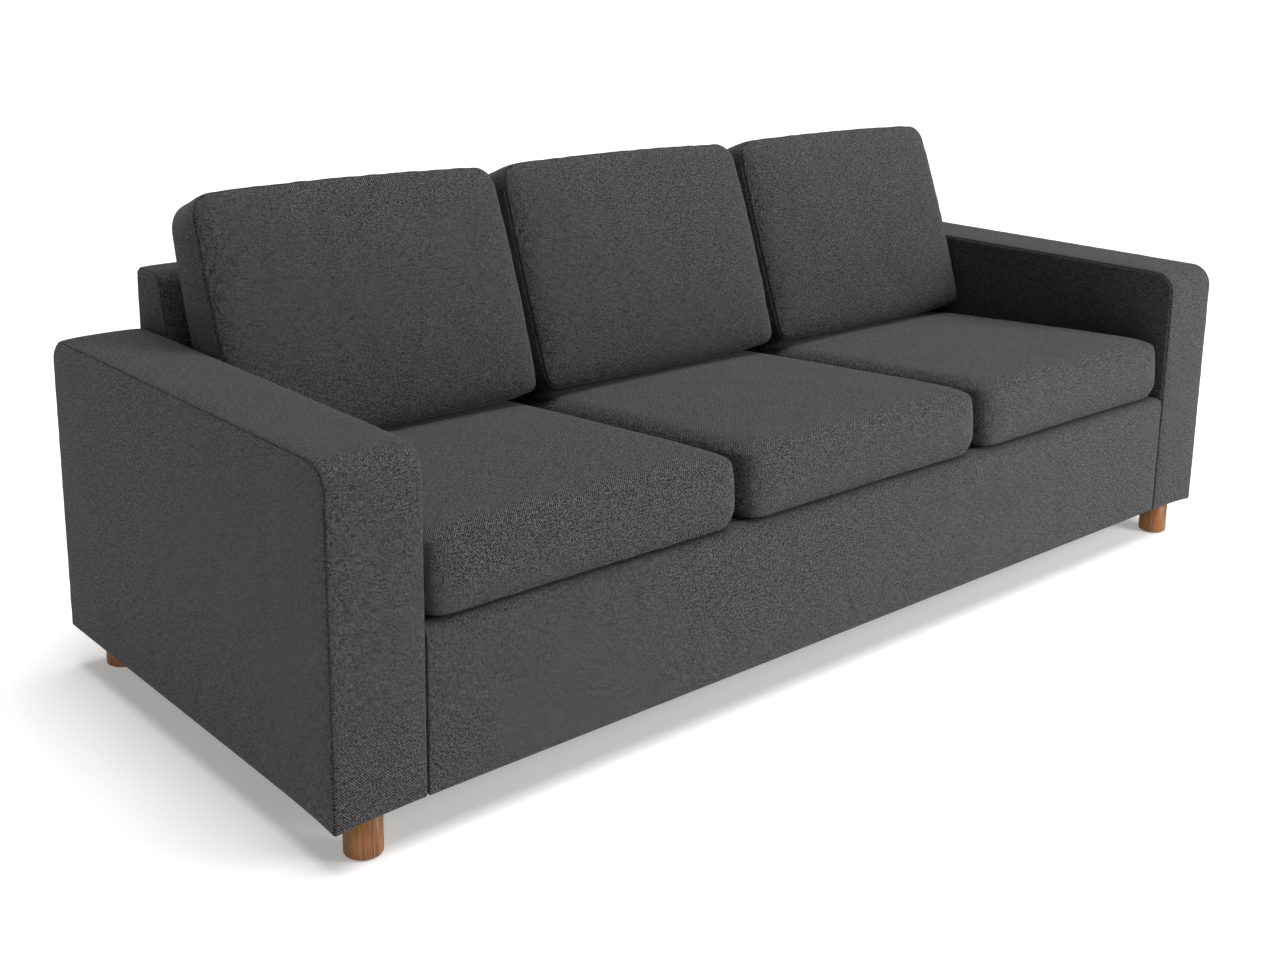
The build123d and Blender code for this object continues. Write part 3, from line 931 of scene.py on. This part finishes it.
@dataclass
class Cushion:
    """A loose cushion: two crowned panels joined by a boxing band, with a plain seam round each."""

    place: Place
    kind: str
    seed: int
    fill: float
    width: float
    length: float
    thickness: float
    corner: float
    far_corner: float
    crown: float
    gain: float
    dome: float
    under_crown: float
    side_crown: float
    side_gain: float
    shoulder: float
    pucker: float
    under_gain: float = 1.0
    waist: float = 3 * MM
    tuck: float = 0.0
    crest_rounding: float = 0.0
    turn_height: float = 36 * MM
    pitch: float = 12.5 * MM
    frames: int = 20
    seam_depth: float = 2.6 * MM
    seam_width: float = 1.8 * MM
    shade_width: float = 1.3 * MM
    shade_depth: float = 1.0
    pucker_reach: float = 22 * MM
    pucker_wave: float = 42 * MM
    unevenness: float = 0.8 * MM
    uneven_reach: float = 40 * MM
    uneven_wave: float = 190 * MM
    uneven_seed: int = 7
    widest: float = 0.6275
    near_seam: tuple[float, ...] = (3 * MM, 7 * MM, 15 * MM)

    @cached_property
    def ruled(self) -> Ruled:
        """The flat box that the cover is cut for.

        Returns:
            The ruled box, from 0 along y and z and centred in x.
        """
        half = self.width / 2
        spans = [(-half, half), (0.0, self.length), (0.0, self.thickness)]
        return Ruled.box([ruling(low, high, self.pitch, self.near_seam) for low, high in spans])

    def shaped(self) -> np.ndarray:
        """Rounds the corners of the cut, draws its sides in between them and tucks its underside in.

        Returns:
            The cover before the filling swells it, in the cushion's own axes.
        """
        flat = self.ruled.points
        share = (flat[:, 2] / self.thickness)[:, None]
        radius = self.far_corner + (self.corner - self.far_corner) * share
        radius += self.crest_rounding * (flat[:, 1:2] > self.length / 2)
        half = np.array([self.width, self.length]) / 2
        middle = np.array([0.0, self.length / 2])
        offset = flat[:, :2] - middle
        core = np.clip(offset, radius - half, half - radius)
        plan = core + bend_corners(offset - core)
        along = 1 - (plan[:, ::-1] / half[::-1]) ** 2
        from_foot = np.clip(1 - flat[:, 2] / self.turn_height, 0.0, 1.0)[:, None]
        from_top = np.clip(1 - (self.thickness - flat[:, 2]) / self.turn_height, 0.0, 1.0)[:, None]
        turned = self.tuck * from_foot**2 + self.shoulder * from_top**2
        plan *= 1 - (self.waist * along + turned) / half
        return np.column_stack([plan + middle, flat[:, 2]])

    def seam_distance(self) -> np.ndarray:
        """Distance along the cover from the nearest seam.

        Returns:
            The distance of each point.
        """
        across, along, height = self.ruled.points.T
        half = self.width / 2
        side = np.minimum.reduce([across + half, half - across, along, self.length - along])
        return np.maximum(side, np.minimum(height, self.thickness - height))

    def by_face(self, upper: float, under: float, side: float) -> np.ndarray:
        """Gives each point the value of the face that it is on.

        Args:
            upper: Value on the upper panel.
            under: Value on the panel below.
            side: Value on the boxing band.

        Returns:
            The values.
        """
        height = self.ruled.points[:, 2]
        above = height > self.thickness - TOUCHING
        return np.where(above, upper, np.where(height < TOUCHING, under, side))

    def reach(self) -> np.ndarray:
        """How far the filling may push each point."""
        return self.by_face(self.crown, self.under_crown, self.side_crown)

    def filled(self, far: np.ndarray) -> np.ndarray:
        """Turns the bare cloth's movement into that of the cover drawn over its filling.

        Args:
            far: How far the bare cloth moves at each point.

        Returns:
            How far the cover moves: a tight roll beside the seam, then a gentle dome.
        """
        reach = np.maximum(self.reach(), TINY)
        gain = self.by_face(self.gain, self.under_gain, self.side_gain)
        dome = self.by_face(self.dome, 0.0, 0.0) * far / far.max()
        return reach * np.tanh(far * gain / reach) + dome

    def settled(self, points: np.ndarray) -> np.ndarray:
        """The swollen shape, left as it is; a kind of cushion that rests against something presses it flat
        here.
        """
        return points

    def axes(self) -> Matrix:
        """Where the cushion's own axes lie in the sofa."""
        return Matrix.Identity(4)

    def swell(self, piece: Object, held: np.ndarray) -> np.ndarray:
        """Lets the filling blow the cover up, with Blender's cloth.

        Args:
            piece: The cover in its cut shape.
            held: Which points stay put.

        Returns:
            The swollen points.
        """
        scene = bpy.context.scene
        start = points_of(piece.data)
        group = piece.vertex_groups.new(name="held")
        group.add(np.nonzero(held)[0].tolist(), 1.0, "REPLACE")
        cloth = piece.modifiers.new("swell", "CLOTH")
        for name, value in COVER_CLOTH.items():
            setattr(cloth.settings, name, value)
        cloth.settings.vertex_group_mass = group.name
        cloth.settings.effector_weights.gravity = 0.0
        cloth.collision_settings.use_collision = False
        cloth.point_cache.frame_start = 1
        cloth.point_cache.frame_end = self.frames
        for number in range(1, self.frames + 1):
            scene.frame_set(number)
        done = piece.evaluated_get(bpy.context.evaluated_depsgraph_get())
        swollen = points_of(done.data)
        piece.modifiers.remove(cloth)
        piece.vertex_groups.remove(group)
        scene.frame_set(1)
        moved = swollen - start
        far = np.linalg.norm(moved, axis=1)
        log.info("%s: the filling moves the cover by %.1f mm at most", piece.name, far.max() / MM)
        return start + moved * (self.filled(far) / np.maximum(far, TINY))[:, None]

    def subdivide(self, piece: Object) -> None:
        """Halves every face once, with smooth subdivision.

        Args:
            piece: The cover.
        """
        finer = piece.modifiers.new("finer", "SUBSURF")
        finer.levels = 1
        finer.render_levels = 1
        done = piece.evaluated_get(bpy.context.evaluated_depsgraph_get())
        mesh = bpy.data.meshes.new_from_object(done)
        piece.modifiers.remove(finer)
        old = piece.data
        piece.data = mesh
        bpy.data.meshes.remove(old)
        mesh.name = piece.name
        mesh.shade_smooth()

    def sew(self, piece: Object) -> None:
        """Draws the seams in and puckers the cloth beside them.

        Args:
            piece: The cover.
        """
        seed = self.seed + self.place.value
        mesh = piece.data
        points = points_of(mesh)
        normals = np.empty(len(mesh.vertices) * 3, dtype=np.float32)
        mesh.vertices.foreach_get("normal", normals)
        apart = np.empty(len(mesh.vertices), dtype=np.float32)
        mesh.attributes[SEAM_MARK].data.foreach_get("value", apart)
        mesh.attributes.remove(mesh.attributes[SEAM_MARK])
        puckers = Ripple(seed, self.pucker_wave).at(points)
        waves = Ripple(seed + self.uneven_seed, self.uneven_wave).at(points)
        push = -self.seam_depth * np.exp(-((apart / self.seam_width) ** 2))
        push += self.pucker * np.exp(-apart / self.pucker_reach) * puckers
        push += self.unevenness * (1 - np.exp(-apart / self.uneven_reach)) * waves
        sewn = points + normals.reshape(-1, 3) * push[:, None]
        sewn[:, 0] = np.clip(sewn[:, 0], -self.widest / 2, self.widest / 2)
        set_points(mesh, sewn)
        # Painted shade along the seams, as if the seam groove were in shadow.
        mark_points(mesh, SEAM_SHADE, self.shade_depth * np.exp(-((apart / self.shade_width) ** 2)))

    def build(self) -> None:
        """Cuts, fills and sews the cushion, and lays it in its place."""
        word = self.place.word
        name = f"{self.kind}_{word}"
        piece = new_piece(name, self.shaped(), self.ruled)
        apart = self.seam_distance()
        mark_points(piece.data, SEAM_MARK, apart)
        held = (apart < TOUCHING) | (self.reach() < TOUCHING)
        set_points(piece.data, self.settled(self.swell(piece, held)))
        self.subdivide(piece)
        self.sew(piece)
        piece.data.transform(self.axes())
        piece.data.update()
        nodes = [f"{self.kind}_{part}_{word}" for part in ("cover", "core")]
        upholster(piece, nodes, body=name)


@dataclass
class SeatCushion(Cushion):
    """One of the three seat cushions, lying on the raked deck."""

    kind: str = "seat_cushion"
    seed: int = 41
    fill: float = 0.85
    width: float = 0.613
    length: float = 0.680
    thickness: float = 0.112
    corner: float = 34 * MM
    far_corner: float = 36 * MM
    crown: float = 16 * MM
    gain: float = 7.0
    dome: float = 8 * MM
    under_crown: float = 0.0
    side_crown: float = 7 * MM
    side_gain: float = 2.0
    shoulder: float = 4 * MM
    tuck: float = 13 * MM
    seam_depth: float = 0.7 * MM
    shade_depth: float = 0.3
    pucker: float = 0.3 * MM
    deck_front: tuple[float, float] = (-0.449, 0.3367)

    def axes(self) -> Matrix:
        """Where the cushion's own axes lie in the sofa."""
        at = Vector((self.place.value * SEAT_PITCH, *self.deck_front))
        return Matrix.Translation(at) @ Matrix.Rotation(-SEAT_RAKE, 4, "X")


@dataclass
class BackCushion(Cushion):
    """One of the three back cushions, standing on the seat and leaning on the back."""

    kind: str = "back_cushion"
    seed: int = 61
    fill: float = 0.75
    width: float = 0.609
    length: float = 0.434
    thickness: float = 0.090
    corner: float = 20 * MM
    far_corner: float = 32 * MM
    crown: float = 13 * MM
    gain: float = 6.0
    dome: float = 23 * MM
    under_crown: float = 82 * MM
    under_gain: float = 8.0
    side_crown: float = 7 * MM
    side_gain: float = 3.0
    shoulder: float = 2 * MM
    waist: float = -6 * MM
    crest_rounding: float = 15 * MM
    pucker: float = 0.9 * MM
    unevenness: float = 1.6 * MM
    lean: float = math.radians(20.0)
    foot: tuple[float, float] = (0.1797, 0.4179)
    back_foot: tuple[float, float] = (0.225, 0.232)
    back_lean: float = math.radians(15.8)
    back_top: float = 0.706
    back_room: float = 2 * MM
    over_back: float = 20 * MM
    over_back_rise: float = 30 * MM
    seat_front: tuple[float, float] = (-0.448, 0.4712)
    seat_room: float = 1 * MM

    def settled(self, points: np.ndarray) -> np.ndarray:
        """The swollen shape pressed flat against the back and the seat.

        Args:
            points: The swollen points, in the cushion's own axes.

        Returns:
            The settled points.
        """
        axes = np.array(self.axes())
        placed = points @ axes[:3, :3].T + axes[:3, 3]
        seat = self.seat_front[1] - (placed[:, 1] - self.seat_front[0]) * math.tan(SEAT_RAKE)
        placed[:, 2] = np.maximum(placed[:, 2], seat + self.seat_room)
        height = placed[:, 2]
        rest = self.back_foot[0] + (height - self.back_foot[1]) * math.tan(self.back_lean) - self.back_room
        clear = np.clip((height - self.back_top) / self.over_back_rise, 0.0, 1.0) * self.over_back
        placed[:, 1] = np.minimum(placed[:, 1], rest + clear)
        return (placed - axes[:3, 3]) @ axes[:3, :3]

    def axes(self) -> Matrix:
        """Where the cushion's own axes lie in the sofa.

        Returns:
            The matrix from the cushion's axes to the sofa's.
        """
        up = Vector((0.0, math.sin(self.lean), math.cos(self.lean)))
        out = Vector((0.0, -math.cos(self.lean), math.sin(self.lean)))
        at = Vector((self.place.value * SEAT_PITCH, *self.foot))
        columns = Matrix((Vector((-1.0, 0.0, 0.0)), up, out)).transposed().to_4x4()
        return Matrix.Translation(at) @ columns


@dataclass
class Leg:
    """A turned oak leg with an eased foot."""

    node: str
    ease: float = 2 * MM
    ease_middle: float = 0.3
    facets: int = 96

    def build(self) -> None:
        """Turns the leg."""
        low, high = cad_box([self.node])
        middle = (low + high) / 2
        radius = (high[0] - low[0]) / 2
        part_way = self.ease * self.ease_middle
        rings = [
            (0.0, radius - self.ease),
            (part_way, radius - part_way),
            (self.ease, radius),
            (high[2] - low[2], radius),
        ]
        turns = np.linspace(0.0, 2 * math.pi, self.facets, endpoint=False)
        points = [
            (middle[0] + wide * math.cos(turn), middle[1] + wide * math.sin(turn), low[2] + rise)
            for rise, wide in rings
            for turn in turns
        ]
        number = np.arange(len(points)).reshape(len(rings), self.facets)
        beside = np.roll(number, -1, axis=1)
        sides = np.stack([number[:-1], beside[:-1], beside[1:], number[1:]], axis=-1).reshape(-1, 4)
        faces = [*sides.tolist(), number[0, ::-1].tolist(), number[-1].tolist()]
        mesh = bpy.data.meshes.new(f"{self.node}_turned")
        mesh.from_pydata(points, [], faces)
        mesh.polygons.foreach_set("use_smooth", [len(face.vertices) == 4 for face in mesh.polygons])
        hand_over(add_object(mesh.name, mesh), SOFA_BODY, "oak", [self.node])


@dataclass
class LiningSheet:
    """A lining cloth stretched over a frame: the deck under the cushions or the dust cover below."""

    node: str
    slot: str
    sag: float
    supports: list[str]
    thick: float = 1.0 * MM
    node_thick: float = 1.5 * MM
    least_slope: float = 5 * MM
    belly_along: float = 0.6
    belly_across: float = 0.3
    pitch: float = 15 * MM
    near_edge: tuple[float, ...] = (4 * MM,)

    def build(self) -> None:
        """Makes the cloth."""
        low, high = cad_box([self.node])
        slope = high[2] - low[2] - self.node_thick
        slope = slope if slope > self.least_slope else 0.0
        lines = [ruling(low[at], high[at], self.pitch, self.near_edge) for at in range(2)]
        lines.append(np.array([0.0, self.thick]))
        ruled = Ruled.box(lines)
        points = ruled.points.copy()
        across, along = ((points[:, :2] - low[:2]) / (high[:2] - low[:2])).T
        belly = np.sin(np.pi * along) ** self.belly_along * np.sin(np.pi * across) ** self.belly_across
        points[:, 2] += high[2] - self.thick - slope * along - self.sag * np.nan_to_num(belly)
        piece = new_piece(f"{self.node}_sheet", points, ruled)
        hand_over(piece, SOFA_BODY, self.slot, [self.node])


@dataclass(frozen=True)
class Studio:
    """Pale floor, soft lights and the camera."""

    place: tuple[float, float, float] = (-2.0912, -2.1831, 1.2559)
    yaw: float = math.radians(41.298)
    pitch: float = math.radians(13.229)
    roll: float = math.radians(0.773)
    floor_half: float = 110.0
    floor_low: Colour = (0.84, 0.84, 0.84)
    floor_high: Colour = (0.87, 0.87, 0.87)
    floor_mottle: Waves = every_way(3.0)
    horizon_light: float = 0.75
    horizon_edge: tuple[float, float] = (0.04, 0.26)
    zenith_light: float = 0.12

    def floor(self) -> None:
        """Lays the floor, lit a little from within as a light table is."""
        sketch = Sketch("pale_floor")
        tone = sketch.noise(sketch.object_places(), self.floor_mottle)
        material = sketch.surface(
            Base_Color=sketch.mix(tone, self.floor_low, self.floor_high),
            Roughness=0.9,
            Specular_IOR_Level=0.1,
            Emission_Color=WHITE,
            Emission_Strength=0.30,
        )
        half = self.floor_half
        mesh = bpy.data.meshes.new("floor")
        corners = [(-half, -half, 0.0), (half, -half, 0.0), (half, half, 0.0), (-half, half, 0.0)]
        mesh.from_pydata(corners, [], [(0, 1, 2, 3)])
        mesh.materials.append(material)
        add_object("floor", mesh)

    def hang(self, name: str, kind: str, at: Sequence[float], aim: Sequence[float], **settings: Any) -> None:
        """Hangs a light.

        Args:
            name: The light's name.
            kind: Blender's kind of light.
            at: Its place.
            aim: The point that it is turned to.
            **settings: Its own settings, such as its power.
        """
        data = bpy.data.lights.new(name, kind)
        for key, value in settings.items():
            setattr(data, key, value)
        light = add_object(name, data)
        light.location = at
        light.rotation_mode = "QUATERNION"
        light.rotation_quaternion = (Vector(aim) - Vector(at)).to_track_quat("-Z", "Y")

    def lights(self) -> None:
        """Sets the room light, bright at the horizon, a broad far light and a square soft one."""
        sky = Sky("room")
        rise = sky.axis(sky.node("ShaderNodeTexCoord"), 2).smooth(*self.horizon_edge)
        sky.shine(self.horizon_light + rise * (self.zenith_light - self.horizon_light))
        bpy.context.scene.view_settings.view_transform = "Standard"
        wide = math.radians(46.0)
        self.hang("overhead", "SUN", at=(0.56, -0.56, 3.92), aim=(0.0, 0.0, 0.0), energy=3.2, angle=wide)
        square = {"shape": "SQUARE", "size": 1.6, "energy": 106.0}
        self.hang("key", "AREA", at=(2.1, -3.5, 1.8), aim=(0.0, 0.0, 0.35), **square)

    def camera(self) -> None:
        """Sets the camera at the photograph's angle."""
        level = math.cos(self.pitch)
        ahead = Vector((math.sin(self.yaw) * level, math.cos(self.yaw) * level, -math.sin(self.pitch)))
        right = Vector((math.cos(self.yaw), -math.sin(self.yaw), 0.0))
        up = right.cross(ahead)
        turned_right = right * math.cos(self.roll) + up * math.sin(self.roll)
        turned_up = up * math.cos(self.roll) - right * math.sin(self.roll)
        data = bpy.data.cameras.new("camera")
        data.sensor_fit = "HORIZONTAL"
        data.sensor_width = 36.0
        data.lens = 45.247
        data.shift_y = -0.12
        data.clip_end = 200.0
        camera = add_object("camera", data)
        axes = Matrix((turned_right, turned_up, -ahead)).transposed().to_4x4()
        camera.matrix_world = Matrix.Translation(Vector(self.place)) @ axes
        bpy.context.scene.camera = camera


def main() -> None:
    """Builds the sofa piece by piece, in the order that a maker would."""
    logging.basicConfig(level=logging.INFO, format="%(message)s")
    studio = Studio()
    studio.camera()
    studio.floor()
    studio.lights()
    dress_frame()
    for side in Side:
        for end in ("front", "rear"):
            Leg(f"leg_{end}_{side.word}").build()
        Arm(side).build()
    FrontRail().build()
    BackFrame().build()
    LiningSheet("seat_deck_cloth", "deck_cloth", sag=1 * MM, supports=["seat_deck_pad"]).build()
    rails = ["seat_front_rail", "seat_rear_rail"]
    LiningSheet("dust_cover", "dust_cloth", sag=2 * MM, supports=rails).build()
    for kind in (SeatCushion, BackCushion):
        for place in Place:
            kind(place).build()


if __name__ == "__main__":
    main()
